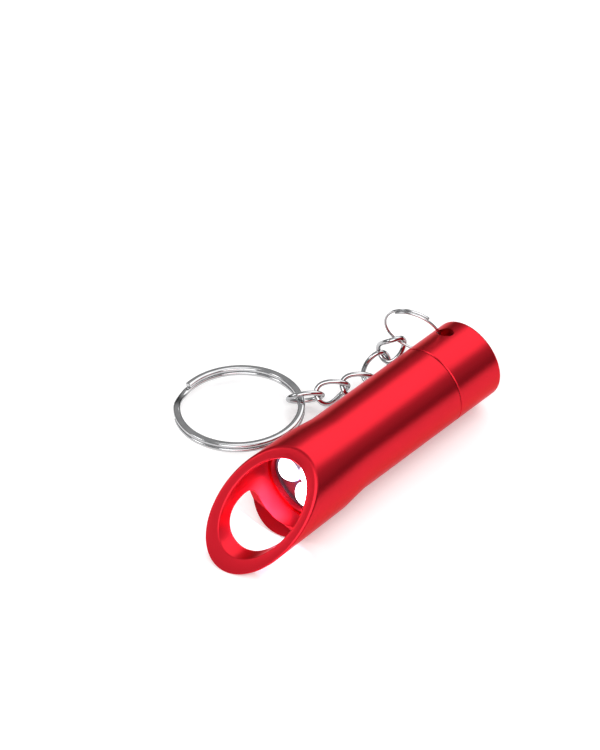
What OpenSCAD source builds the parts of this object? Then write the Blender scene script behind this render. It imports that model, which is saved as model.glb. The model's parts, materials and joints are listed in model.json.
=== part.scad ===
// Keychain flashlight with a bottle-opener head, a twist tail cap, a chain and a split key ring.
// The barrel lies on its side: its axis is X, the tail face is at X = 0 and the mouth faces +X.
// Angles round the barrel are counted from +Z towards +Y.

/* [Barrel] */
// Wall of the grip round the cap's socket
socket_wall = 0.6; // [0.4:0.05:2]
// Length of the cone between the grip and the head
flare_len = 5.6; // [3:0.2:9]
// How much the head's radius is larger than the grip's
head_step = 0.65; // [0.2:0.05:2]
// Length of the head, from the flare to the opener's tip
head_len = 22.3; // [18.5:0.1:28]
// How much the head's radius grows from its start to the tip
head_flare = 0.35; // [0:0.05:0.8]
// Thickness of the head's wall where the head starts
head_wall = 1.75; // [1.2:0.05:1.95]
// Angle of the mouth's face from a square cut
mouth_angle = 47.6; // [42:0.2:52]
// How far the opener's tip is turned round the barrel from straight down
tip_roll = 12; // [0:1:30]
// Radius on the cap's rear edge
edge_r = 0.5; // [0.3:0.1:1]

/* [Opener window] */
// Distance from the tip back to the end of the ramp
bridge_len = 3.95; // [3:0.05:6]
// Radius of the long ramp
ramp_r = 8.6; // [7:0.1:12]
// Depth of the window below the head's outside
window_depth = 5.2; // [4.2:0.05:6.2]
// Radius of the undercut under the biting lip
undercut_r = 2; // [1.2:0.1:2.6]
// Lean of the biting lip's face from square
lip_lean = 32; // [10:1:40]

/* [Tail cap] */
// Length of the tail cap outside the barrel
cap_len = 10.5; // [8.7:0.1:14]
// Thickness of the cap's solid end
cap_floor = 6.5; // [5.4:0.1:8]
// Length of the threaded spigot
spigot_len = 6; // [4:0.5:9]
// Wall of the threaded spigot
spigot_wall = 0.75; // [0.6:0.05:1]
// Width of the seam between cap and barrel
seam_gap = 0.12; // [0.05:0.01:0.3]
// Diameter of the cross hole that takes the ring
ring_hole_d = 2.4; // [1.8:0.1:3]
// Distance from the tail face to the cross hole
ring_hole_x = 3.93; // [3:0.01:4.2]
// Depth of the cross hole's axis below the cap's round
ring_hole_depth = 1.8; // [1.5:0.05:2.3]
// Where the middle of the cross hole is, round the barrel
ring_hole_angle = -58; // [-90:1:90]
// Thickness of the sealing ring
seal_d = 0.5; // [0.4:0.05:0.7]

/* [Cells and light] */
// Diameter of a button cell
cell_d = 11.6; // [7.9:0.1:14]
// Height of a button cell
cell_h = 5.4; // [3.6:0.1:6.5]
// Length of the tail spring as fitted
tail_spring_len = 2.6; // [1.8:0.1:4]
// Length of the front spring as fitted
front_spring_len = 2.05; // [1.5:0.05:4]
// Least thickness of the cell sleeve
sleeve_wall = 0.2; // [0.15:0.05:0.4]
// Diameter of one LED
led_d = 5; // [3:0.1:6]
// Height of one LED without its leads
led_h = 8.6; // [6:0.1:9]
// Gap between the LED bodies
led_gap = 0.33; // [0.25:0.01:1]
// Where the first LED is, round the barrel
led_angle = 41.7; // [0:0.1:120]
// How far the LED tips stand behind the mouth's short side
led_setback = -0.4; // [-1:0.1:4]
// Thickness of the circuit board
board_t = 1.2; // [0.8:0.1:1.6]

/* [Chain and rings] */
// Wire of the small cap ring
cap_ring_wire = 0.5; // [0.4:0.05:0.9]
// How much the small ring's radius is larger than half the cross hole's length
cap_ring_room = 0.41; // [0.36:0.01:2]
// How far the small ring leans towards the mouth
cap_ring_swing = 25; // [0:1:50]
// Wire of the chain links
link_wire = 0.95; // [0.8:0.05:1.2]
// Outside length of a chain link, in wire diameters
link_len_wires = 7.47; // [6.6:0.01:9]
// Outside width of a chain link, in wire diameters
link_w_wires = 5.26; // [5:0.01:5.9]
// Outside diameter of the key ring
key_ring_d = 23.4; // [19:0.2:32]
// Radial width of the key ring's flat wire
key_wire_w = 1.3; // [1:0.1:1.6]
// Thickness of one coil of the key ring
key_wire_t = 0.85; // [0.6:0.05:0.95]

/* [Hidden] */
$fn = 96;
// Margin that cutting bodies run past the faces they cut
over = 1;
// Clearance of parts that slide or turn in each other
running_gap = 0.05;
// Small gap between fixed neighbours
seat_gap = 0.02;

// The LED cluster and the round space it needs
led_flange_t = 1;
led_flange_r = led_d / 2 + 0.1;
led_pitch_r = (led_d + led_gap) / (2 * sin(60));
holder_wall = 0.35;
led_reach = led_pitch_r + led_flange_r + holder_wall + 2 * seat_gap;

// The bay fits the cells in their sleeve or the LEDs, whichever is larger
cell_r = cell_d / 2;
cell_count = 4;
sleeve_in_r = cell_r + running_gap;
bay_r = max(sleeve_in_r + sleeve_wall + running_gap, led_reach);
sleeve_r = bay_r - running_gap;
spigot_r = bay_r + spigot_wall;
socket_r = spigot_r + running_gap;
body_r = socket_r + socket_wall;
head_r = body_r + head_step;
mouth_r = head_r - head_wall;
shoulder_r = bay_r - 0.15;

// Stations of the cells and the light unit, from the tail to the LED tips
stack_x = cap_floor + tail_spring_len;
stack_end = stack_x + cell_count * cell_h;
sleeve_start = stack_x + 0.6;
lead_room = 2.6;
lead_d = 0.5;
lead_pitch = led_d * 0.508;
lead_stub = 0.25;
lead_out_r = norm([led_pitch_r, lead_pitch / 2]) + lead_d / 2;
board_x = stack_end + front_spring_len;
led_base_x = board_x + board_t + lead_room;
led_tip_x = led_base_x + led_h;
shoulder_t = 1;
shoulder_x = led_tip_x - 0.2 - shoulder_t;
plate_front = shoulder_x - 0.35;
plate_rear = led_base_x + led_flange_t;
holder_r = bay_r - seat_gap;
board_r = holder_r - holder_wall - seat_gap;

// Stations of the barrel, set from the LED tips
seam_x = cap_len;
short_x = led_tip_x + led_setback;
mouth_x = short_x + head_r * tan(mouth_angle);
tip_x = mouth_x + head_r * tan(mouth_angle);
head_x = tip_x - head_len;
flare_x = head_x - flare_len;

// Opener window, in the plane through the axis and the tip
scoop_floor = head_r - window_depth;
ramp_end_x = tip_x - bridge_len;
ramp_centre_y = scoop_floor + ramp_r;
ramp_centre_x = ramp_end_x - sqrt(pow(ramp_r, 2) - pow(ramp_centre_y - head_r, 2));
lip_inner_x = ramp_centre_x - undercut_r;

// Cross hole, and the small ring in it
ring_hole_offset = body_r - ring_hole_depth;
cap_ring_r = sqrt(pow(body_r, 2) - pow(ring_hole_offset, 2)) + cap_ring_room;
// The wire's nearest point to the barrel's axis lies this far inside the hole's axis
cap_ring_sink = ring_hole_d / 2 - cap_ring_wire / 2 - 0.16;
cap_ring_lead = cap_ring_wire + 0.06;
cap_ring_first = 27;
cap_ring_turn = 430;

// Direction vectors of the cross hole
hole_out = [0, sin(ring_hole_angle), cos(ring_hole_angle)];
hole_dir = [0, cos(ring_hole_angle), -sin(ring_hole_angle)];
ring_out = cos(cap_ring_swing) * hole_out + sin(cap_ring_swing) * [1, 0, 0];
ring_normal = cross(ring_out, hole_dir);
cap_ring_c = [ring_hole_x, 0, 0] + ring_hole_offset * hole_out
             + (cap_ring_r - cap_ring_sink) * ring_out;

// Chain as it lies: heading from +X towards -Y, dip below level, and turn about the link's length
link_heading = [61, -5, 18, 21, 43];
link_dip = [60, 34, -4, -2, 6];
link_turn = [98, 35, 80, 77, 120];
// Where the chain hangs on the small ring, counted from the ring's outward direction
chain_on_ring = 280;
link_a = (link_len_wires - 1) * link_wire / 2;
link_b = (link_w_wires - 1) * link_wire / 2;
// How far each link is twisted: the rise of its sides as a share of its half width
link_twist = [0.4, 0.4, 0.4, 0.4, 0];
link_gap = 0.105 * link_wire;
link_hold = link_wire + link_gap;
link_count = 5;

function unit(v) = v / norm(v);
function heading_vec(h, d) = [cos(d) * cos(h), -cos(d) * sin(h), -sin(d)];
function link_u(k) = heading_vec(link_heading[k], link_dip[k]);
function ring_side(a) = cap_ring_lead * (a - cap_ring_first - cap_ring_turn / 2) / 360;
function ring_point(a) = cap_ring_c + cap_ring_r * (cos(a) * ring_out + sin(a) * hole_dir)
    + ring_side(a) * ring_normal;
first_hold = cap_ring_wire / 2 + link_wire / 2 + link_gap;
first_end = ring_point(chain_on_ring)
            - first_hold * (cos(chain_on_ring) * ring_out + sin(chain_on_ring) * hole_dir);
function link_c_at(k) = k == 0 ? first_end + link_a * link_u(0)
    : link_c_at(k - 1) + link_a * (link_u(k - 1) + link_u(k))
      - link_hold * unit(link_u(k - 1) + link_u(k));

// Key ring: where it lies, how far its barrel side is raised, and its coils
key_r = (key_ring_d - key_wire_w) / 2;
key_pitch = key_wire_t + 0.04;
key_heading = 30.9;
key_slack = 0.915;
key_lift = 0.17;
key_tilt = 3.7;
key_end = link_c_at(link_count - 1) + link_a * link_u(link_count - 1);
key_c = key_end + (key_r - (key_wire_w + link_wire) / 2 - key_slack)
        * [cos(key_heading), -sin(key_heading), 0] + [0, 0, key_lift];
key_up = unit([-0.54 * sin(key_tilt), -0.84 * sin(key_tilt), cos(key_tilt)]);
key_e1 = unit(cross([0, 1, 0], key_up));
key_e2 = cross(key_up, key_e1);
key_cut = -81;
key_turn = 675;
key_step_from = 322;
key_step_to = 354;

// Points of a ring of n round a path point with sideways axes a and b and half sizes ra and rb
function section(p, a, b, ra, rb, n) =
    [for (i = [0 : n - 1]) p + ra * cos(360 * i / n) * a + rb * sin(360 * i / n) * b];
// Same, for a flat wire with rounded corners
function flat_section(p, a, b, ra, rb, n) =
    [for (i = [0 : n - 1])
        let (c = cos(360 * (i + 0.5) / n), s = sin(360 * (i + 0.5) / n))
        p + ra * sign(c) * pow(abs(c), 0.4) * a + rb * sign(s) * pow(abs(s), 0.4) * b];

// Faces of a tube swept through m rings of n points, open with end caps or closed on itself
function tube_faces(m, n, closed) = concat(
    [for (j = [0 : m - (closed ? 1 : 2)], i = [0 : n - 1])
        let (j2 = (j + 1) % m, i2 = (i + 1) % n)
        [j * n + i, j * n + i2, j2 * n + i2]],
    [for (j = [0 : m - (closed ? 1 : 2)], i = [0 : n - 1])
        let (j2 = (j + 1) % m, i2 = (i + 1) % n)
        [j * n + i, j2 * n + i2, j2 * n + i]],
    closed ? [] : [[for (i = [n - 1 : -1 : 0]) i], [for (i = [0 : n - 1]) (m - 1) * n + i]]);

function flatten(rows) = [for (r = rows, p = r) p];

module sweep(rings, closed) {
    m = len(rings);
    n = len(rings[0]);
    polyhedron(flatten(rings), tube_faces(m, n, closed), convexity = 8);
}

// A solid of revolution about the barrel's axis; the outline's points are [radius, x]
module lathe(outline) {
    rotate([0, 90, 0])
        rotate_extrude()
            polygon(outline);
}

module tube_x(x0, x1, r) {
    translate([x0, 0, 0])
        rotate([0, 90, 0])
            cylinder(h = x1 - x0, r = r);
}

module cone_x(x0, x1, r0, r1) {
    translate([x0, 0, 0])
        rotate([0, 90, 0])
            cylinder(h = x1 - x0, r1 = r0, r2 = r1);
}

// Turns a child so that the opener's tip is straight down in the child's own frame
module head_frame() {
    rotate([-tip_roll, 0, 0])
        children();
}

// Everything in front of the mouth's slanted face
module mouth_cut() {
    head_frame()
        translate([mouth_x, 0, 0])
            rotate([0, -mouth_angle, 0])
                translate([0, -4 * head_r, -4 * head_r])
                    cube(8 * head_r);
}

// The cutter's path that opens the window: long ramp, floor and undercut biting lip
module window_cut() {
    reach = head_r + head_flare + over;
    lean = tan(lip_lean);
    knee_y = head_r - 1.9;
    lip_top_x = lip_inner_x + (reach - knee_y) * lean;
    head_frame()
        mirror([0, 0, 1]) {
            intersection() {
                translate([ramp_centre_x, 0, ramp_centre_y])
                    rotate([90, 0, 0])
                        cylinder(h = 4 * head_r, r = ramp_r, center = true);
                rotate([90, 0, 0])
                    linear_extrude(4 * head_r, center = true)
                        polygon([[ramp_centre_x, 0], [tip_x, 0], [tip_x, reach],
                                 [max(lip_top_x, ramp_centre_x), reach], [ramp_centre_x, knee_y]]);
            }
            translate([ramp_centre_x, 0, scoop_floor + undercut_r])
                rotate([90, 0, 0])
                    cylinder(h = 4 * head_r, r = undercut_r, center = true);
            rotate([90, 0, 0])
                linear_extrude(4 * head_r, center = true)
                    polygon([[lip_inner_x, scoop_floor + undercut_r], [ramp_centre_x + 0.5, scoop_floor + 1],
                             [ramp_centre_x + 0.5, knee_y], [lip_top_x + 1, reach], [lip_top_x, reach],
                             [lip_inner_x, knee_y]]);
        }
}

module barrel() {
    rear_x = seam_x + seam_gap;
    chamfer = 0.15;
    color("#c8192d")
        difference() {
            union() {
                cone_x(rear_x, rear_x + chamfer, body_r - chamfer, body_r);
                tube_x(rear_x + chamfer, flare_x, body_r);
                cone_x(flare_x, head_x, body_r, head_r);
                cone_x(head_x, tip_x + over, head_r, head_r + head_flare * (head_len + over) / head_len);
            }
            mouth_cut();
            window_cut();
            // The socket for the spigot, the cell bay, the shoulder and the mouth
            tube_x(rear_x - over, seam_x + spigot_len + 0.3, socket_r);
            tube_x(seam_x, shoulder_x, bay_r);
            tube_x(seam_x, tip_x + over, shoulder_r);
            tube_x(led_tip_x - 0.2, tip_x + over, mouth_r);
            tube_x(led_tip_x - 0.2, led_tip_x + 0.2, mouth_r + 0.25);
        }
}

module tail_cap() {
    edge = [for (i = [0 : 6]) let (a = 15 * i)
        [body_r - edge_r + edge_r * sin(a), edge_r - edge_r * cos(a)]];
    spigot_end = seam_x + spigot_len;
    groove_x = seam_x + 1;
    groove_w = seal_d + 0.1;
    groove_r = socket_r - seal_d - seat_gap;
    chamfer = 0.15;
    color("#c8192d")
        difference() {
            lathe(concat([[0, 0]], edge, [
                [body_r, seam_x - chamfer], [body_r - chamfer, seam_x], [spigot_r, seam_x],
                [spigot_r, groove_x], [groove_r, groove_x], [groove_r, groove_x + groove_w],
                [spigot_r, groove_x + groove_w], [spigot_r, spigot_end], [bay_r, spigot_end],
                [bay_r, cap_floor], [0, cap_floor]]));
            ring_hole();
        }
}

// The straight cross hole, which cuts a corner off the cap's round
module ring_hole() {
    translate([ring_hole_x, 0, 0] + ring_hole_offset * hole_out)
        rotate([-90 - ring_hole_angle, 0, 0])
            cylinder(h = 8 * body_r, r = ring_hole_d / 2, center = true);
}

module o_ring() {
    ring_r = (seal_d - seat_gap) / 2;
    color("#1c1c1e")
        translate([seam_x + 1.05 + seal_d / 2, 0, 0])
            rotate([0, 90, 0])
                rotate_extrude()
                    translate([socket_r - seat_gap / 2 - ring_r, 0])
                        circle(r = ring_r, $fn = 24);
}

// A conical spring along X between two flat faces
module cone_spring(x0, x1, r0, r1, wire, turns) {
    steps = ceil(turns * 20);
    start = x0 + wire / 2 + seat_gap;
    rise = x1 - x0 - wire - 2 * seat_gap;
    rings = [for (j = [0 : steps])
        let (t = j / steps, a = 360 * turns * t, r = r0 + (r1 - r0) * t,
             out = [0, sin(a), cos(a)])
        section([start + rise * t, r * sin(a), r * cos(a)], out, [1, 0, 0], wire / 2, wire / 2, 8)];
    sweep(rings, false);
}

module tail_spring() {
    color("#b9bcc2")
        cone_spring(cap_floor, stack_x, cell_r - 1.2, 2.2, 0.5, 3);
}

module battery_sleeve() {
    color("#e8e6df")
        difference() {
            tube_x(sleeve_start, board_x - seat_gap, sleeve_r);
            tube_x(sleeve_start - over, board_x + over, sleeve_in_r);
        }
}

// One button cell: a can with a rounded rear edge, a seal ring groove and a raised cap
module button_cell(k) {
    x0 = stack_x + k * cell_h;
    step = 0.5;
    color("#c9ccd1")
        lathe([[0, x0 + seat_gap], [cell_r - 0.3, x0 + seat_gap], [cell_r, x0 + 0.3 + seat_gap],
               [cell_r, x0 + cell_h - step - 0.25], [cell_r - 0.25, x0 + cell_h - step],
               [cell_r - 0.8, x0 + cell_h - step], [cell_r - 0.8, x0 + cell_h - step - 0.2],
               [cell_r - 1.1, x0 + cell_h - step - 0.2], [cell_r - 1.2, x0 + cell_h],
               [0, x0 + cell_h]]);
}

module front_spring() {
    color("#b9bcc2")
        cone_spring(stack_end, board_x, lead_out_r - 1.5, lead_out_r + 0.9, 0.4, 2.5);
}

// Centres of the lead holes, two for each LED
function led_yz(k) = let (a = led_angle - 120 * k) [led_pitch_r * sin(a), led_pitch_r * cos(a)];
function lead_yz(k, s) = let (a = led_angle - 120 * k)
    led_yz(k) + s * lead_pitch / 2 * [cos(a), -sin(a)];

module circuit_board() {
    color("#1f6b3a")
        difference() {
            tube_x(board_x, board_x + board_t, board_r);
            for (k = [0 : 2], s = [-1, 1])
                translate([0, lead_yz(k, s)[0], lead_yz(k, s)[1]])
                    tube_x(board_x - over, board_x + board_t + over, lead_d / 2 + running_gap);
        }
}

module resistor() {
    color("#202124")
        translate([board_x + board_t, -1, -0.6])
            cube([0.5, 2, 1.2]);
}

module led_holder() {
    rim_r = holder_r - 0.45;
    color("#2a1216")
        difference() {
            tube_x(board_x, shoulder_x - seat_gap, holder_r);
            tube_x(board_x - over, plate_rear, holder_r - holder_wall);
            tube_x(plate_front, shoulder_x + over, rim_r);
            for (k = [0 : 2])
                translate([0, led_yz(k)[0], led_yz(k)[1]])
                    tube_x(board_x, shoulder_x, led_d / 2 + seat_gap);
        }
}

// One LED: collar, round body and domed lens
module led(k) {
    color("#f4f6ff")
        translate([0, led_yz(k)[0], led_yz(k)[1]]) {
            tube_x(led_base_x, plate_rear - seat_gap, led_flange_r);
            tube_x(led_base_x + 0.5, led_tip_x - led_d / 2, led_d / 2);
            translate([led_tip_x - led_d / 2, 0, 0])
                intersection() {
                    sphere(r = led_d / 2);
                    tube_x(-0.5, led_d, led_d);
                }
        }
}

module led_leads() {
    color("#d5d7da")
        for (k = [0 : 2], s = [-1, 1])
            translate([0, lead_yz(k, s)[0], lead_yz(k, s)[1]])
                tube_x(board_x - lead_stub, led_base_x, lead_d / 2);
}

// The small spring-wire ring, a little over one turn, its ends side by side
module cap_ring() {
    steps = 84;
    rings = [for (j = [0 : steps])
        let (a = cap_ring_first + cap_ring_turn * j / steps,
             out = cos(a) * ring_out + sin(a) * hole_dir)
        section(ring_point(a), out, ring_normal, cap_ring_wire / 2, cap_ring_wire / 2, 8)];
    color("#cfd1d4")
        sweep(rings, false);
}

// A twisted oval link: its ends lie crosswise so that the links interlock and the chain lies flat
module chain_link(k) {
    u = link_u(k);
    level = unit(cross(u, [0, 0, 1]));
    up = cross(level, u);
    v = cos(link_turn[k]) * level + sin(link_turn[k]) * up;
    w = cross(u, v);
    steps = 40;
    link_c = link_twist[k] * link_b;
    rings = [for (j = [0 : steps - 1])
        let (a = 360 * j / steps,
             p = link_a * cos(a) * u + link_b * sin(a) * v + link_c * sin(2 * a) * w,
             along = unit(-link_a * sin(a) * u + link_b * cos(a) * v + 2 * link_c * cos(2 * a) * w),
             out = unit(p - (p * along) * along),
             side = cross(along, out))
        section(link_c_at(k) + p, out, side, link_wire / 2, link_wire / 2, 8)];
    color("#cfd1d4")
        sweep(rings, true);
}

// The split ring: nearly two coils of flat wire, with one step from the upper coil to the lower
module key_ring() {
    steps = 128;
    rings = [for (j = [0 : steps])
        let (a = key_turn * j / steps,
             t = (a - key_step_from) / (key_step_to - key_step_from),
             level = cos(180 * max(0, min(1, t))),
             out = cos(key_cut - a) * key_e1 + sin(key_cut - a) * key_e2)
        flat_section(key_c + key_r * out + level * key_pitch / 2 * key_up,
                     out, key_up, key_wire_w / 2, key_wire_t / 2, 8)];
    color("#cfd1d4")
        sweep(rings, false);
}

barrel();
tail_cap();
o_ring();
tail_spring();
battery_sleeve();
button_cell(0);  // button_cell_1
button_cell(1);  // button_cell_2
button_cell(2);  // button_cell_3
button_cell(3);  // button_cell_4
front_spring();
circuit_board();
resistor();
led_holder();
led(0);  // led_1
led(1);  // led_2
led(2);  // led_3
led_leads();
cap_ring();
chain_link(0);  // chain_link_1
chain_link(1);  // chain_link_2
chain_link(2);  // chain_link_3
chain_link(3);  // chain_link_4
chain_link(4);  // chain_link_5
key_ring();
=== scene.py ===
"""Looks for the keychain flashlight: the shell, the light unit, the cells, the chain and the rings."""

import json
import math

import bmesh
import bpy
import numpy as np
from mathutils import Matrix, Vector


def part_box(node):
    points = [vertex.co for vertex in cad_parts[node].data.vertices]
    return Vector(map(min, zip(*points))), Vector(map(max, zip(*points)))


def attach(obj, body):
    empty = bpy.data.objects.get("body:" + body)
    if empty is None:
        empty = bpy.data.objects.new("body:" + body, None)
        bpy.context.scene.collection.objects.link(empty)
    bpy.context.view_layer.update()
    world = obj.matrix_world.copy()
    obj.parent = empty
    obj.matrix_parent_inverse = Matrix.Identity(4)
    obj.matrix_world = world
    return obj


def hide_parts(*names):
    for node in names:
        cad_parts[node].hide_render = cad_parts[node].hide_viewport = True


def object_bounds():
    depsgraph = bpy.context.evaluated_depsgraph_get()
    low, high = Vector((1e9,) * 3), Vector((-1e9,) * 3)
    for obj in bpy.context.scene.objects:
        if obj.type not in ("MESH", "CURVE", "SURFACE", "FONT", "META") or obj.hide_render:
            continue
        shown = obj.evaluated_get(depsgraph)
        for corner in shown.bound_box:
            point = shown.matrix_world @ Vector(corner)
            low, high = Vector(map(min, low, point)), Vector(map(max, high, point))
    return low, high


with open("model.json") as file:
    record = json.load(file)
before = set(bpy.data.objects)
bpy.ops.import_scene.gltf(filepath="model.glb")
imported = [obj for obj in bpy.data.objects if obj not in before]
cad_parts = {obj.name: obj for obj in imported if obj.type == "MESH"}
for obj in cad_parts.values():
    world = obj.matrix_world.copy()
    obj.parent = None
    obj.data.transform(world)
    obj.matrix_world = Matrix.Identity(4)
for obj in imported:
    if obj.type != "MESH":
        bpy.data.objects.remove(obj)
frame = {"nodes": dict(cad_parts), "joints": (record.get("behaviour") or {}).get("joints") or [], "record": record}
CAD_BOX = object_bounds()

bl_info = {
    "name": "Keychain Flashlight",
    "version": (1, 0, 0),
    "blender": (4, 5, 0),
    "location": "View3D > Sidebar > Flashlight",
    "description": "Builds the looks of a red anodised keychain flashlight with a bottle-opener head",
    "category": "Object",
}

MM = 0.001
AXIS = Vector((1, 0, 0))
INNER_RIM_STEPS = 5
OUTER_RIM_STEPS = 12
UNDERCUT_STEPS = 12
RAMP_STEPS = 48
LINK_STEPS = 96
CAP_RING_STEPS = 160
KEY_RING_STEPS = 400
SECTION_POINTS = 24
# The CAD wires are eight-sided with their corners on the wire's diameter; this share gives the same area.
WIRE_SHARE = 0.95


# ---------------------------------------------------------------- shared helpers

def linear(hex_colour):
    """An sRGB hex colour such as "#D21C2A" as linear RGBA."""
    parts = [int(hex_colour[i:i + 2], 16) / 255 for i in (1, 3, 5)]
    return tuple(c / 12.92 if c <= 0.04045 else ((c + 0.055) / 1.055) ** 2.4 for c in parts) + (1.0,)


def add(tree, kind, links=(), **settings):
    """Adds a node. A key that names an input sets it and any other sets a property.

    The links are (name of an input, output to link to it).
    """
    node = tree.nodes.new(kind)
    for key, value in settings.items():
        words = key.replace("_", " ")
        socket = next((s for s in node.inputs if s.name.lower() == words and not hasattr(node, key)), None)
        if socket is None:
            setattr(node, key, value)
        else:
            socket.default_value = value
    for name, source in links:
        tree.links.new(source, node.inputs[name])
    return node


def new_material(name, **principled):
    """An empty node material with one Principled shader; returns the material, its tree and the shader."""
    material = bpy.data.materials.new(name)
    material.use_nodes = True
    tree = material.node_tree
    tree.nodes.clear()
    shader = add(tree, "ShaderNodeBsdfPrincipled")
    for key, value in principled.items():
        shader.inputs[key.replace("_", " ")].default_value = value
    add(tree, "ShaderNodeOutputMaterial", [("Surface", shader.outputs["BSDF"])])
    return material, tree, shader


def row_coordinates(tree):
    """Object coordinates in metres; every piece's object sits at the row's origin."""
    return add(tree, "ShaderNodeTexCoord").outputs["Object"]


def per_metre(size_mm):
    """The noise scale that gives features of this size."""
    return 1 / (size_mm * MM)


def ramp(tree, value, stops):
    """A colour ramp with the stops (position, colour)."""
    node = add(tree, "ShaderNodeValToRGB", [("Fac", value)])
    elements = node.color_ramp.elements
    elements[0].position, elements[0].color = stops[0]
    elements[1].position, elements[1].color = stops[-1]
    for position, colour in stops[1:-1]:
        element = elements.new(position)
        element.color = colour
    return node


def grey(value):
    return (value, value, value, 1.0)


def paint(name, material):
    """Gives a carried-over CAD node its material."""
    mesh = frame["nodes"][name].data
    mesh.materials.clear()
    mesh.materials.append(material)


def smooth_by_angle(obj, degrees):
    """Smooth shading, but for edges sharper than this."""
    obj.data.shade_smooth()
    obj.data.set_sharp_from_angle(angle=math.radians(degrees))


def turn_faces_outward(mesh):
    bm = bmesh.new()
    bm.from_mesh(mesh)
    bmesh.ops.recalc_face_normals(bm, faces=bm.faces)
    bm.to_mesh(mesh)
    bm.free()


def scene_object(name, data):
    obj = bpy.data.objects.new(name, data)
    bpy.context.scene.collection.objects.link(obj)
    return obj


def mesh_object(name, vertices, faces, material):
    """An object with a mesh made from its vertices and faces."""
    mesh = bpy.data.meshes.new(name)
    mesh.from_pydata([tuple(v) for v in vertices], [], faces)
    mesh.validate()
    mesh.materials.append(material)
    return scene_object(name, mesh)


# ---------------------------------------------------------------- materials

def anodised_aluminium(name, hex_colour, roughness, blast_mm, bump):
    """Bead-blasted aluminium dyed red in a clear oxide layer.

    The blasting gives a fine even grain that spreads each highlight into a soft-edged band. The dye tints
    the metal's reflection, and the clear oxide on top adds a pale sheen where the surface turns away.
    The grain of 0.05 mm is drawn at 0.16 mm so that it shows.
    """
    material, tree, shader = new_material(
        name, Metallic=1.0, Coat_Weight=0.2, Coat_Roughness=0.3, Coat_IOR=1.6)
    shader.inputs["Specular Tint"].default_value = linear("#F0A0A8")
    place = row_coordinates(tree)
    grain = add(tree, "ShaderNodeTexNoise", [("Vector", place)], scale=per_metre(blast_mm), detail=3.0)
    cloud = add(tree, "ShaderNodeTexNoise", [("Vector", place)], scale=per_metre(9.0), detail=2.0)
    tone = ramp(tree, cloud.outputs["Fac"], [
        (0.3, tuple(0.94 * c for c in linear(hex_colour)[:3]) + (1.0,)), (0.7, linear(hex_colour))])
    spread = ramp(tree, grain.outputs["Fac"], [(0.3, grey(roughness - 0.01)), (0.7, grey(roughness + 0.02))])
    lumps = add(tree, "ShaderNodeBump", [("Height", grain.outputs["Fac"])], strength=bump, distance=0.02 * MM)
    tree.links.new(tone.outputs["Color"], shader.inputs["Base Color"])
    tree.links.new(spread.outputs["Color"], shader.inputs["Roughness"])
    tree.links.new(lumps.outputs["Normal"], shader.inputs["Normal"])
    return material


def nickel_plate():
    """Bright nickel plate on drawn steel wire.

    It mirrors its surroundings, a little warmer and duller than chrome. Drawing the wire leaves fine marks,
    and the tumbled links have faint dull patches a few tenths of a millimetre across.
    """
    material, tree, shader = new_material("bright_nickel_plate", Metallic=1.0)
    place = row_coordinates(tree)
    rub = add(tree, "ShaderNodeTexNoise", [("Vector", place)], scale=per_metre(0.5), detail=4.0)
    tint = add(tree, "ShaderNodeTexNoise", [("Vector", place)], scale=per_metre(3.0), detail=2.0)
    colour = ramp(tree, tint.outputs["Fac"], [(0.3, linear("#B0B1B3")), (0.7, linear("#C6C6C7"))])
    spread = ramp(tree, rub.outputs["Fac"], [(0.35, grey(0.04)), (0.75, grey(0.12))])
    marks = add(tree, "ShaderNodeBump", [("Height", rub.outputs["Fac"])], strength=0.06, distance=0.01 * MM)
    tree.links.new(colour.outputs["Color"], shader.inputs["Base Color"])
    tree.links.new(spread.outputs["Color"], shader.inputs["Roughness"])
    tree.links.new(marks.outputs["Normal"], shader.inputs["Normal"])
    return material


def worked_metal(name, dark_hex, light_hex, grain_mm, low, high, bump):
    """A bare or plated inner metal: fine marks of this size change its tone and its roughness."""
    material, tree, shader = new_material(name, Metallic=1.0)
    grain = add(tree, "ShaderNodeTexNoise", [("Vector", row_coordinates(tree))],
                scale=per_metre(grain_mm), detail=4.0)
    colour = ramp(tree, grain.outputs["Fac"], [(0.3, linear(dark_hex)), (0.7, linear(light_hex))])
    spread = ramp(tree, grain.outputs["Fac"], [(0.3, grey(low)), (0.7, grey(high))])
    marks = add(tree, "ShaderNodeBump", [("Height", grain.outputs["Fac"])], strength=bump, distance=0.02 * MM)
    tree.links.new(colour.outputs["Color"], shader.inputs["Base Color"])
    tree.links.new(spread.outputs["Color"], shader.inputs["Roughness"])
    tree.links.new(marks.outputs["Normal"], shader.inputs["Normal"])
    return material


def plain_solid(name, dark_hex, light_hex, grain_mm, roughness, bump, ior=1.5):
    """A moulded, laminated or card surface: a faint mottle of this size and a matching fine texture."""
    material, tree, shader = new_material(name, IOR=ior)
    grain = add(tree, "ShaderNodeTexNoise", [("Vector", row_coordinates(tree))],
                scale=per_metre(grain_mm), detail=4.0)
    colour = ramp(tree, grain.outputs["Fac"], [(0.3, linear(dark_hex)), (0.7, linear(light_hex))])
    spread = ramp(tree, grain.outputs["Fac"], [(0.3, grey(roughness - 0.05)), (0.7, grey(roughness + 0.08))])
    marks = add(tree, "ShaderNodeBump", [("Height", grain.outputs["Fac"])], strength=bump, distance=0.03 * MM)
    tree.links.new(colour.outputs["Color"], shader.inputs["Base Color"])
    tree.links.new(spread.outputs["Color"], shader.inputs["Roughness"])
    tree.links.new(marks.outputs["Normal"], shader.inputs["Normal"])
    return material


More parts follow.
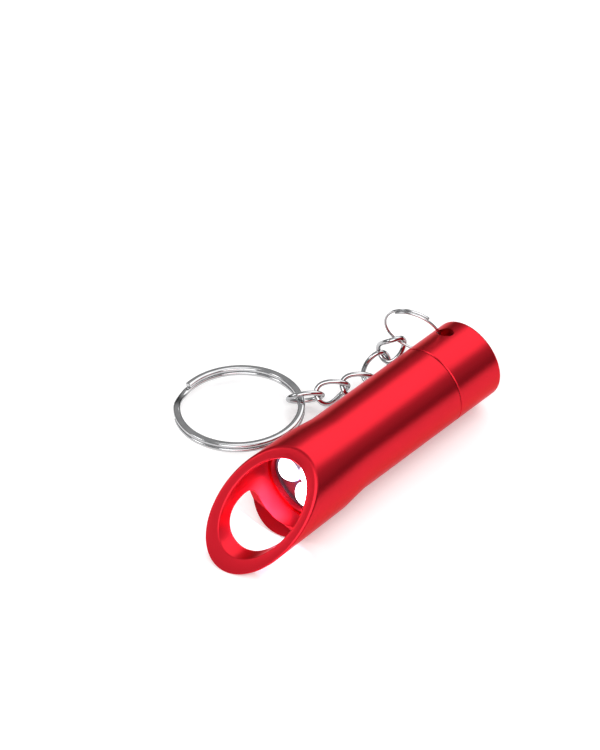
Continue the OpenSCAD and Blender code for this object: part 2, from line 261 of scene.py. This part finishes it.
def lit_epoxy(strength):
    """Water-clear epoxy of a 5 mm LED, lit.

    The phosphor under the dome is white hot in the middle and turns blue-violet towards the collar, with
    faint swirls where the resin set.
    """
    material, tree, shader = new_material("lit_clear_epoxy", IOR=1.54, Roughness=0.06)
    place = row_coordinates(tree)
    tip_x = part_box("led_1")[1].x
    along = add(tree, "ShaderNodeSeparateXYZ", [("Vector", place)])
    depth = add(tree, "ShaderNodeMapRange", [("Value", along.outputs["X"])])
    depth.inputs["From Min"].default_value = tip_x - 3.2 * MM
    depth.inputs["From Max"].default_value = tip_x - 0.2 * MM
    swirl = add(tree, "ShaderNodeTexNoise", [("Vector", place)], scale=per_metre(1.1), detail=2.0)
    mixed = add(tree, "ShaderNodeMath", [(0, depth.outputs["Result"])], operation="ADD")
    offset = add(tree, "ShaderNodeMapRange", [("Value", swirl.outputs["Fac"])])
    offset.inputs["To Min"].default_value = -0.18
    offset.inputs["To Max"].default_value = 0.18
    tree.links.new(offset.outputs["Result"], mixed.inputs[1])
    glow = ramp(tree, mixed.outputs["Value"], [
        (0.0, linear("#2A0F38")), (0.28, linear("#6A4FD0")),
        (0.5, linear("#D9CCFF")), (0.72, linear("#FFFFFF"))])
    tree.links.new(glow.outputs["Color"], shader.inputs["Emission Color"])
    tree.links.new(glow.outputs["Color"], shader.inputs["Base Color"])
    shader.inputs["Emission Strength"].default_value = strength
    return material


def floor_paint(hex_colour):
    """A matt pale table top with a very faint mottle, lit a little from below so that shadows stay faint."""
    material = plain_solid("matt_pale_floor", hex_colour, "#FAFAFA", 30.0, 0.9, 0.0)
    shader = next(n for n in material.node_tree.nodes if n.type == "BSDF_PRINCIPLED")
    shader.inputs["Emission Color"].default_value = (1, 1, 1, 1)
    shader.inputs["Emission Strength"].default_value = 0.2
    return material


# ---------------------------------------------------------------- settings

def length_size(name, description, millimetres):
    """A length property with its default in millimetres."""
    return bpy.props.FloatProperty(name=name, description=description, default=millimetres * MM,
                                   subtype="DISTANCE", unit="LENGTH", precision=5)


def angle_size(name, description, degrees):
    """An angle property with its default in degrees."""
    return bpy.props.FloatProperty(name=name, description=description, default=math.radians(degrees),
                                   subtype="ANGLE", unit="ROTATION")


def power_size(name, description, watts):
    """A light's power property with its default in watts."""
    return bpy.props.FloatProperty(name=name, description=description, default=watts, min=0,
                                   subtype="POWER", unit="POWER", precision=4)


class ShellSettings(bpy.types.PropertyGroup):
    """Colour, sizes and edges of the anodised shell."""

    dye: bpy.props.StringProperty(
        name="Dye", description="Colour of the anodised metal, as sRGB hex", default="#CC1024")
    mouth_angle: angle_size("Mouth angle", "Angle of the mouth's face from a square cut", 47.6)
    tip_roll: angle_size("Tip roll", "How far the opener's tip is turned from straight down", 12)
    wall: length_size("Wall", "Thickness of the head's wall at the mouth", 1.75)
    rim: length_size("Rim radius", "Rounding of the mouth's outer rim away from the tip", 1.15)
    tip_rim: length_size("Tip rim radius", "Rounding of the mouth's outer rim at the tip", 0.14)
    grip_radius: length_size("Grip radius", "Radius of the grip", 7.5)
    head_step: length_size("Head step", "How much the head's radius is larger than the grip's", 0.65)
    head_flare: length_size("Head flare", "How much the head's radius grows from its start to the tip", 0.35)
    flare: length_size("Flare length", "Length of the cone between the grip and the head", 5.6)
    head_length: length_size("Head length", "Length of the head, from the flare to the tip", 22.3)
    inner_rim: length_size("Inner rim radius", "Rounding of the mouth's inner edge", 0.3)
    socket_wall: length_size("Socket wall", "Thickness of the grip's wall round the tail cap's spigot", 0.6)
    chamfer: length_size("Chamfer", "Chamfer of the grip's edge at the tail cap", 0.15)
    led_setback: length_size("LED setback", "How far the mouth's face is set back from the LEDs' tips", 0.4)
    steps: bpy.props.IntProperty(
        name="Steps round", description="Number of steps round the barrel", default=256, min=48, max=512)


class OpenerSettings(bpy.types.PropertyGroup):
    """Sizes of the opener's slot."""

    bridge: length_size("Bridge", "Distance from the tip back to the end of the ramp", 3.95)
    ramp_radius: length_size("Ramp radius", "Radius of the long ramp", 8.6)
    depth: length_size("Depth", "Depth of the slot below the head's outside", 5.2)
    undercut: length_size("Undercut radius", "Radius of the undercut under the biting lip", 2.0)
    lip_depth: length_size("Lip depth", "Depth at which the biting lip's leaning face ends", 1.9)
    lean: angle_size("Lip lean", "Lean of the biting lip's face from square", 32)


class ChainSettings(bpy.types.PropertyGroup):
    """Sizes of the small ring, the links and the split ring."""

    wire: length_size("Link wire", "Diameter of the links' wire", 0.95)
    link_length: length_size("Link length", "Outside length of a link", 7.0965)
    link_width: length_size("Link width", "Outside width of a link", 4.997)
    twist: bpy.props.FloatProperty(
        name="Twist", description="Rise of a link's sides as a share of its half width",
        default=0.4, min=0, max=1)
    last_twist: bpy.props.FloatProperty(
        name="Last twist", description="Twist of the link at the split ring", default=0.0, min=-1, max=1)
    ring_wire: length_size("Ring wire", "Diameter of the small ring's wire", 0.5)
    ring_radius: length_size("Ring radius", "Radius of the small ring at its wire's middle", 5.282)
    ring_sink: length_size("Ring sink", "How far the ring's nearest point lies inside the hole's axis", 0.79)
    ring_lean: angle_size("Ring lean", "How far the small ring leans towards the mouth", 25)
    ring_lead: length_size("Ring lead", "Sideways travel of the small ring in one turn", 0.56)
    ring_first: angle_size("Ring start", "Where the small ring's wire starts", 27)
    ring_turn: angle_size("Ring turn", "How far the small ring's wire runs round", 430)
    key_diameter: length_size("Split ring", "Outside diameter of the split ring", 23.4)
    key_width: length_size("Flat width", "Radial width of the split ring's wire", 1.3)
    key_thickness: length_size("Flat thickness", "Thickness of one coil", 0.85)
    key_pitch: length_size("Coil pitch", "Distance between the two coils", 0.89)
    key_cut: angle_size("Cut", "Where the split ring's wire starts", -81)
    key_turn: angle_size("Wire turn", "How far the split ring's wire runs round", 675)
    step_from: angle_size("Step start", "Where the wire starts to step down", 322)
    step_to: angle_size("Step end", "Where the wire has stepped down", 354)


class LightSettings(bpy.types.PropertyGroup):
    """The LEDs and the studio."""

    glow: bpy.props.FloatProperty(
        name="Glow", description="Strength of the LEDs' own light", default=3.0, min=0, max=50)
    spill: power_size("Spill", "Power of the light that the LEDs throw into the mouth", 0.004)
    key: power_size("Key light", "Power of the large overhead light", 1.35)
    fill: power_size("Fill light", "Power of the light on the mouth's side that whitens the floor", 5.5)
    face: power_size("Face light", "Power of the light that the mouth's face mirrors", 0.8)
    sky: bpy.props.FloatProperty(
        name="Surroundings", description="Brightness of the room", default=0.45, min=0, max=5)


# ---------------------------------------------------------------- the shell

def head_turn():
    """Turns the head's own frame, where the tip is straight down, into the row frame."""
    return Matrix.Rotation(-bpy.context.scene.shell.tip_roll, 4, "X")


def slerp(a, b, t):
    """A direction part of the way from a to b."""
    angle = a.angle(b)
    return (a * math.sin((1 - t) * angle) + b * math.sin(t * angle)) / math.sin(angle)


def mouth_row(radius, side, rim, t):
    """Points round the barrel on the rounded edge between a wall and the mouth's slanted face.

    A ball of radius rim(angle) rolls in the corner of the wall (side 1 outside, -1 inside) and the face;
    t runs from 0 on the wall to 1 on the face. radius(angle) is the wall's radius where it meets the face.
    """
    s = bpy.context.scene.shell
    slope = math.tan(s.mouth_angle)
    normal = Vector((math.cos(s.mouth_angle), 0, math.sin(s.mouth_angle)))
    face_x = mouth_x()
    row = []
    for i in range(s.steps):
        angle = 2 * math.pi * i / s.steps
        out = Vector((0, math.sin(angle), -math.cos(angle)))
        ball = rim(angle)
        reach = radius(angle) - side * ball
        middle = out * reach
        middle.x = face_x - ball / math.cos(s.mouth_angle) + reach * math.cos(angle) * slope
        row.append(middle + ball * slerp(side * out, normal, t))
    return row


def head_radius():
    """The head's radius where it starts, before it grows towards the tip."""
    s = bpy.context.scene.shell
    return s.grip_radius + s.head_step


def mouth_x():
    """Where the mouth's face crosses the barrel's axis."""
    s = bpy.context.scene.shell
    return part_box("led_1")[1].x - s.led_setback + head_radius() * math.tan(s.mouth_angle)


def tip_x():
    """How far the tip would reach if the head didn't grow towards it."""
    s = bpy.context.scene.shell
    return mouth_x() + head_radius() * math.tan(s.mouth_angle)


def round_row(x, radius):
    """Points round the barrel at one place along it."""
    steps = bpy.context.scene.shell.steps
    row = []
    for i in range(steps):
        angle = 2 * math.pi * i / steps
        row.append(Vector((x, radius * math.sin(angle), -radius * math.cos(angle))))
    return row


def rings_to_faces(count, steps, closed):
    """Four-sided faces between rows of points, with the last row joined to the first when closed."""
    faces = []
    for j in range(count if closed else count - 1):
        for i in range(steps):
            k = (i + 1) % steps
            n = (j + 1) % count
            faces.append((j * steps + i, n * steps + i, n * steps + k, j * steps + k))
    return faces


def shell_rows():
    """The shell's rows, out along the inside wall, over the mouth's face and back along the outside."""
    s = bpy.context.scene.shell
    back_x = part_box("barrel")[0].x
    bay_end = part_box("led_holder")[1].x
    bay_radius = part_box("led_holder")[1].y + 0.02 * MM  # the bay holds the LED unit with a slip fit
    # Two thin turned rings stand between the bay and the bore.
    lip_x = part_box("led_1")[1].x - 0.2 * MM
    lip_radius = bay_radius - 0.15 * MM
    ring_length = 0.4 * MM
    ring_step = 0.25 * MM
    socket_radius = s.grip_radius - s.socket_wall
    socket_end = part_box("tail_cap")[1].x + 0.3 * MM
    bore = head_radius() - s.wall
    head_x = tip_x() - s.head_length
    flare_x = head_x - s.flare
    growth = s.head_flare / s.head_length
    slope = math.tan(s.mouth_angle)
    grown = head_radius() + growth * (mouth_x() - head_x)

    def outside(angle):
        return grown / (1 - growth * slope * math.cos(angle))

    def inside(angle):
        return bore

    def outer_rim(angle):
        return s.tip_rim + (s.rim - s.tip_rim) * ((1 - math.cos(angle)) / 2) ** 2

    def inner_rim(angle):
        return s.inner_rim

    rows = [round_row(back_x, socket_radius), round_row(socket_end, socket_radius),
            round_row(socket_end, bay_radius), round_row(bay_end, bay_radius),
            round_row(bay_end, lip_radius), round_row(lip_x, lip_radius),
            round_row(lip_x, bore + ring_step), round_row(lip_x + ring_length, bore + ring_step),
            round_row(lip_x + ring_length, bore)]
    rows += [mouth_row(inside, -1, inner_rim, t / INNER_RIM_STEPS) for t in range(INNER_RIM_STEPS + 1)]
    rows += [mouth_row(outside, 1, outer_rim, 1 - t / OUTER_RIM_STEPS) for t in range(OUTER_RIM_STEPS + 1)]
    rows += [round_row(head_x, head_radius()), round_row(flare_x, s.grip_radius),
             round_row(back_x + s.chamfer, s.grip_radius), round_row(back_x, s.grip_radius - s.chamfer)]
    return rows


def slot_cutter():
    """The opener slot's cutter: biting lip, undercut and long ramp, extruded right across the head."""
    s = bpy.context.scene.opener
    outside = head_radius()
    reach = outside + 1.5 * MM
    floor = outside - s.depth
    ramp_y = floor + s.ramp_radius
    end_x = tip_x() - s.bridge
    ramp_x = end_x - math.sqrt(s.ramp_radius ** 2 - (ramp_y - outside) ** 2)
    lip_x = ramp_x - s.undercut
    knee = outside - s.lip_depth
    outline = [(lip_x + (reach - knee) * math.tan(s.lean), reach), (lip_x, knee)]
    for i in range(UNDERCUT_STEPS + 1):
        a = math.radians(180 + 90 * i / UNDERCUT_STEPS)
        outline.append((ramp_x + s.undercut * math.cos(a), floor + s.undercut + s.undercut * math.sin(a)))
    last = math.asin((reach - ramp_y) / s.ramp_radius)
    for i in range(1, RAMP_STEPS + 1):
        a = -math.pi / 2 + (last + math.pi / 2) * i / RAMP_STEPS
        outline.append((ramp_x + s.ramp_radius * math.cos(a), ramp_y + s.ramp_radius * math.sin(a)))
    half = 2 * outside
    n = len(outline)
    vertices = [(x, side * half, -y) for side in (-1, 1) for x, y in outline]
    faces = [tuple(range(n)), tuple(reversed(range(n, 2 * n)))]
    faces += [(i, n + i, n + (i + 1) % n, (i + 1) % n) for i in range(n)]
    return vertices, faces


def apply_modifiers(obj):
    """Keeps the shape that the modifiers give."""
    graph = bpy.context.evaluated_depsgraph_get()
    mesh = bpy.data.meshes.new_from_object(obj.evaluated_get(graph))
    obj.modifiers.clear()
    old = obj.data
    obj.data = mesh
    bpy.data.meshes.remove(old)


class FLASHLIGHT_OT_shell(bpy.types.Operator):
    """Makes the barrel with its rounded mouth rim and the opener's slot, and paints the tail cap"""

    bl_idname = "flashlight.shell"
    bl_label = "Shell"

    def execute(self, context):
        s = context.scene.shell
        skin = anodised_aluminium("bead_blasted_red_anodised_aluminium", s.dye, 0.32, 0.16, 0.03)
        rows = shell_rows()
        shell = mesh_object("barrel_shell", [v for row in rows for v in row],
                            rings_to_faces(len(rows), s.steps, True), skin)
        vertices, faces = slot_cutter()
        cutter = mesh_object("slot_cutter", vertices, faces, skin)
        for obj in (shell, cutter):
            turn_faces_outward(obj.data)
        cut = shell.modifiers.new("slot", "BOOLEAN")
        cut.operation = "DIFFERENCE"
        cut.solver = "EXACT"
        cut.object = cutter
        apply_modifiers(shell)
        bpy.data.objects.remove(cutter)
        shell.data.transform(head_turn())
        if len(shell.data.polygons) < s.steps:
            raise RuntimeError("the opener's slot could not be cut")
        smooth_by_angle(shell, 25)
        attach(shell, "barrel_body")
        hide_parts("barrel")
        paint("tail_cap", skin)
        return {"FINISHED"}


class FLASHLIGHT_OT_light_unit(bpy.types.Operator):
    """Paints the LEDs, their holder, the board, the resistor and the leads"""

    bl_idname = "flashlight.light_unit"
    bl_label = "Light unit"

    def execute(self, context):
        light = context.scene.studio
        # Dull dyed plastic: the LED holder swallows most of the light beside the domes.
        paint("led_holder", plain_solid("moulded_dark_red_plastic", "#22080D", "#330D14", 0.5, 0.45, 0.2))
        lens = lit_epoxy(light.glow)
        for name in ("led_1", "led_2", "led_3"):
            paint(name, lens)
        # Solder mask over woven glass: the 0.4 mm weave shows as a faint mottle.
        board = plain_solid("green_solder_mask_laminate", "#0B3D1E", "#12552B", 0.4, 0.3, 0.15)
        paint("circuit_board", board)
        paint("resistor", plain_solid("printed_chip_ceramic", "#101012", "#1B1B1E", 0.2, 0.5, 0.1))
        paint("led_leads", worked_metal("tinned_steel_lead", "#B9BABD", "#DCDDE0", 0.3, 0.2, 0.35, 0.1))
        return {"FINISHED"}


class FLASHLIGHT_OT_cells(bpy.types.Operator):
    """Paints the cells, their sleeve, the springs and the seal"""

    bl_idname = "flashlight.cells"
    bl_label = "Cells and springs"

    def execute(self, context):
        # Nickel-plated deep-drawn can: satin, with drawing marks.
        can = worked_metal("nickel_plated_drawn_can", "#B5B6B8", "#D5D5D3", 0.25, 0.22, 0.38, 0.15)
        for i in range(1, 5):
            paint(f"button_cell_{i}", can)
        # Calendered card: smooth, warm off-white, with short fibres.
        paint("battery_sleeve", plain_solid("calendered_card", "#D8D3C4", "#E9E5D9", 0.3, 0.7, 0.3))
        coil = worked_metal("bright_spring_wire", "#A9ABAE", "#CBCDD0", 0.2, 0.15, 0.3, 0.1)
        paint("tail_spring", coil)
        paint("front_spring", coil)
        # Nitrile rubber: near black with a soft sheen.
        paint("o_ring", plain_solid("moulded_nitrile_rubber", "#0E0E0F", "#171718", 0.3, 0.55, 0.2, 1.52))
        return {"FINISHED"}


def round_section(p, a, b, ra, rb, power=1.0):
    """Points round p in the plane of a and b; a power under 1 squares the round up."""
    points = []
    for i in range(SECTION_POINTS):
        c = math.cos(2 * math.pi * (i + 0.5) / SECTION_POINTS)
        d = math.sin(2 * math.pi * (i + 0.5) / SECTION_POINTS)
        across, up = math.copysign(abs(c) ** power, c), math.copysign(abs(d) ** power, d)
        points.append(p + ra * across * a + rb * up * b)
    return points


def wire_piece(name, rows, closed, material, body, node):
    """A piece of formed wire that replaces a CAD node and moves with a body."""
    faces = rings_to_faces(len(rows), SECTION_POINTS, closed)
    if not closed:
        n = (len(rows) - 1) * SECTION_POINTS
        faces += [tuple(range(SECTION_POINTS)), tuple(reversed(range(n, n + SECTION_POINTS)))]
    piece = mesh_object(name, [v for row in rows for v in row], faces, material)
    turn_faces_outward(piece.data)
    smooth_by_angle(piece, 50)
    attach(piece, body)
    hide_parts(node)
    return piece


def link_axes(node):
    """Centre and axes of a link, from how its CAD points spread: along, across and out of its plane."""
    points = np.unique(np.round([v.co for v in frame["nodes"][node].data.vertices], 7), axis=0)
    centre = points.mean(0)
    _, axes = np.linalg.eigh(np.cov((points - centre).T))
    along, across = Vector(axes[:, 2]), Vector(axes[:, 1])
    return Vector(centre), along, across, along.cross(across)


def link_rows(node, twist):
    """Rows of a twisted oval link, laid along the axes of its CAD node."""
    s = bpy.context.scene.chain
    centre, u, v, w = link_axes(node)
    a, b = (s.link_length - s.wire) / 2, (s.link_width - s.wire) / 2
    radius = WIRE_SHARE * s.wire / 2
    rows = []
    for j in range(LINK_STEPS):
        t = 2 * math.pi * j / LINK_STEPS
        p = a * math.cos(t) * u + b * math.sin(t) * v + twist * b * math.sin(2 * t) * w
        along = -a * math.sin(t) * u + b * math.cos(t) * v + 2 * twist * b * math.cos(2 * t) * w
        along.normalize()
        out = (p - p.dot(along) * along).normalized()
        rows.append(round_section(centre + p, out, along.cross(out), radius, radius))
    return rows


def with_cut_ends(stations, make):
    """Rows at the stations, where the first and last are pulled in to round off the cut ends."""
    return [make(stations[0], 0.8)] + [make(t, 1.0) for t in stations[1:-1]] + [make(stations[-1], 0.8)]


def joint_named(name):
    return next(j for j in frame["joints"] if j["name"] == name)


def cap_ring_rows():
    """Rows of the small ring of round wire that hangs in the tail cap's cross hole."""
    s = bpy.context.scene.chain
    joint = joint_named("ring_swing")
    hole, hole_dir = Vector(joint["pos_m"]), Vector(joint["axis"]).normalized()
    ring_out = math.cos(s.ring_lean) * AXIS.cross(hole_dir) + math.sin(s.ring_lean) * AXIS
    normal = ring_out.cross(hole_dir)
    centre = hole + (s.ring_radius - s.ring_sink) * ring_out
    radius = WIRE_SHARE * s.ring_wire / 2

    def row(angle, share):
        out = math.cos(angle) * ring_out + math.sin(angle) * hole_dir
        side = s.ring_lead * (angle - s.ring_first - s.ring_turn / 2) / (2 * math.pi)
        return round_section(centre + s.ring_radius * out + side * normal, out, normal,
                             share * radius, share * radius)

    step = 0.06 * MM / s.ring_radius
    stations = [s.ring_first, s.ring_first + step]
    stations += [s.ring_first + s.ring_turn * j / CAP_RING_STEPS for j in range(1, CAP_RING_STEPS)]
    stations += [s.ring_first + s.ring_turn - step, s.ring_first + s.ring_turn]
    return with_cut_ends(stations, row)


def key_ring_rows():
    """Rows of the split ring: nearly two coils of flat wire with one step between them."""
    s = bpy.context.scene.chain
    mount = next(m for m in frame["record"]["mounts"] if m["name"] == "key_ring")
    centre, up = Vector(mount["pos_m"]), Vector(mount["axis"]).normalized()
    e1 = Vector((0, 1, 0)).cross(up).normalized()
    e2 = up.cross(e1)
    radius = (s.key_diameter - s.key_width) / 2

    def row(turned, share):
        level = math.cos(math.pi * max(0, min(1, (turned - s.step_from) / (s.step_to - s.step_from))))
        angle = s.key_cut - turned
        out = math.cos(angle) * e1 + math.sin(angle) * e2
        return round_section(centre + radius * out + level * s.key_pitch / 2 * up, out, up,
                             share * s.key_width / 2, share * s.key_thickness / 2, 0.75)

    step = 0.12 * MM / radius
    stations = [0, step]
    stations += [s.key_turn * j / KEY_RING_STEPS for j in range(1, KEY_RING_STEPS)]
    stations += [s.key_turn - step, s.key_turn]
    return with_cut_ends(stations, row)


class FLASHLIGHT_OT_chain(bpy.types.Operator):
    """Makes the small ring, the chain's links and the split ring in smooth bright wire"""

    bl_idname = "flashlight.chain"
    bl_label = "Chain and rings"

    def execute(self, context):
        plate = nickel_plate()
        twists = [context.scene.chain.twist] * 4 + [context.scene.chain.last_twist]
        for i, twist in enumerate(twists, 1):
            wire_piece(f"link_wire_{i}", link_rows(f"chain_link_{i}", twist), True, plate,
                       f"link_{i}", f"chain_link_{i}")
        wire_piece("cap_ring_wire", cap_ring_rows(), False, plate, "cap_ring", "cap_ring")
        wire_piece("key_ring_wire", key_ring_rows(), False, plate, "key_ring", "key_ring")
        return {"FINISHED"}


# ---------------------------------------------------------------- the stage

def area_light(name, towards, target, distance, width, length, power):
    """A rectangular light that faces the target from a direction."""
    data = bpy.data.lights.new(name, "AREA")
    data.shape = "RECTANGLE"
    data.size = width
    data.size_y = length
    data.energy = power
    obj = scene_object(name, data)
    way = Vector(towards).normalized()
    aim = (-way).to_track_quat("-Z", "Y").to_matrix().to_4x4()
    obj.matrix_world = Matrix.Translation(target + way * distance) @ aim


class FLASHLIGHT_OT_stage(bpy.types.Operator):
    """Makes the floor, the studio light and the camera"""

    bl_idname = "flashlight.stage"
    bl_label = "Stage"

    def execute(self, context):
        light = context.scene.studio
        scene = context.scene
        middle = Vector((30 * MM, -5 * MM, 0))
        half = 4.0  # metres: the floor runs out of sight on every side
        floor_z = CAD_BOX[0][2] - 0.05 * MM
        corners = [(x * half, y * half, floor_z) for x, y in ((-1, -1), (1, -1), (1, 1), (-1, 1))]
        mesh_object("floor", corners, [(0, 1, 2, 3)], floor_paint("#F4F4F4"))

        world = bpy.data.worlds.new("studio")
        world.use_nodes = True
        # The room is dark near the horizon, which draws the dark lines along the bright wires.
        tree = world.node_tree
        way = add(tree, "ShaderNodeTexCoord")
        height = add(tree, "ShaderNodeSeparateXYZ", [("Vector", way.outputs["Generated"])])
        room = ramp(tree, height.outputs["Z"], [(0.12, grey(0.01)), (0.4, grey(1.0))])
        tree.links.new(room.outputs["Color"], tree.nodes["Background"].inputs["Color"])
        tree.nodes["Background"].inputs["Strength"].default_value = light.sky
        scene.world = world

        scene.view_settings.view_transform = "Standard"

        # One broad light above the tail gives the long highlight and its sharp lower edge.
        area_light("key", (-0.55, -0.03, 0.83), middle, 0.5, 0.55, 0.5, light.key)
        # A light from the mouth's side, which the barrel doesn't mirror, whitens the floor.
        area_light("fill", (0.62, 0.5, 0.6), middle, 0.8, 0.8, 0.8, light.fill)
        # A small light in front makes the mouth's slanted face read as one even red.
        area_light("face", (0.61, -0.51, 0.60), middle, 0.8, 0.25, 0.25, light.face)

        # The LEDs' light in the bore: a soft point just in front of the domes.
        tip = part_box("led_1")[1].x
        spill = bpy.data.lights.new("led_spill", "POINT")
        spill.energy = light.spill
        spill.color = linear("#E6D8FF")[:3]
        spill.shadow_soft_size = 1.5 * MM
        scene_object("led_spill", spill).location = (tip + 2.5 * MM, 0, 0)

        camera = bpy.data.cameras.new("camera")
        camera.sensor_fit = "HORIZONTAL"
        camera.sensor_width = 36
        camera.lens = 240
        camera.clip_start = 0.01
        right = Vector((-0.68267, 0.73072, -0.00434))
        up = Vector((-0.48476, -0.44843, 0.75095))
        back = right.cross(up)
        place = Vector((410.18, 344.85, 466.60)) * MM
        scene.camera = scene_object("camera", camera)
        turn = Matrix((right, up, back)).transposed().to_4x4()
        scene.camera.matrix_world = Matrix.Translation(place) @ turn
        return {"FINISHED"}


class FLASHLIGHT_PT_panel(bpy.types.Panel):
    """Lists the flashlight's sizes and its building steps"""

    bl_idname = "FLASHLIGHT_PT_panel"
    bl_label = "Keychain flashlight"
    bl_space_type = "VIEW_3D"
    bl_region_type = "UI"
    bl_category = "Flashlight"

    def draw(self, context):
        for group in (context.scene.shell, context.scene.opener, context.scene.chain, context.scene.studio):
            box = self.layout.box()
            for name in group.__annotations__:
                box.prop(group, name)
        for operator in OPERATORS:
            self.layout.operator(operator.bl_idname)


OPERATORS = (FLASHLIGHT_OT_shell, FLASHLIGHT_OT_light_unit, FLASHLIGHT_OT_cells, FLASHLIGHT_OT_chain,
             FLASHLIGHT_OT_stage)
CLASSES = (ShellSettings, OpenerSettings, ChainSettings, LightSettings) + OPERATORS + (FLASHLIGHT_PT_panel,)


def register():
    for cls in CLASSES:
        bpy.utils.register_class(cls)
    bpy.types.Scene.shell = bpy.props.PointerProperty(type=ShellSettings)
    bpy.types.Scene.opener = bpy.props.PointerProperty(type=OpenerSettings)
    bpy.types.Scene.chain = bpy.props.PointerProperty(type=ChainSettings)
    bpy.types.Scene.studio = bpy.props.PointerProperty(type=LightSettings)


def unregister():
    for name in ("shell", "opener", "chain", "studio"):
        delattr(bpy.types.Scene, name)
    for cls in reversed(CLASSES):
        bpy.utils.unregister_class(cls)


def main():
    register()
    bpy.ops.flashlight.shell()
    bpy.ops.flashlight.light_unit()
    bpy.ops.flashlight.cells()
    bpy.ops.flashlight.chain()
    bpy.ops.flashlight.stage()


if __name__ == "__main__":
    main()
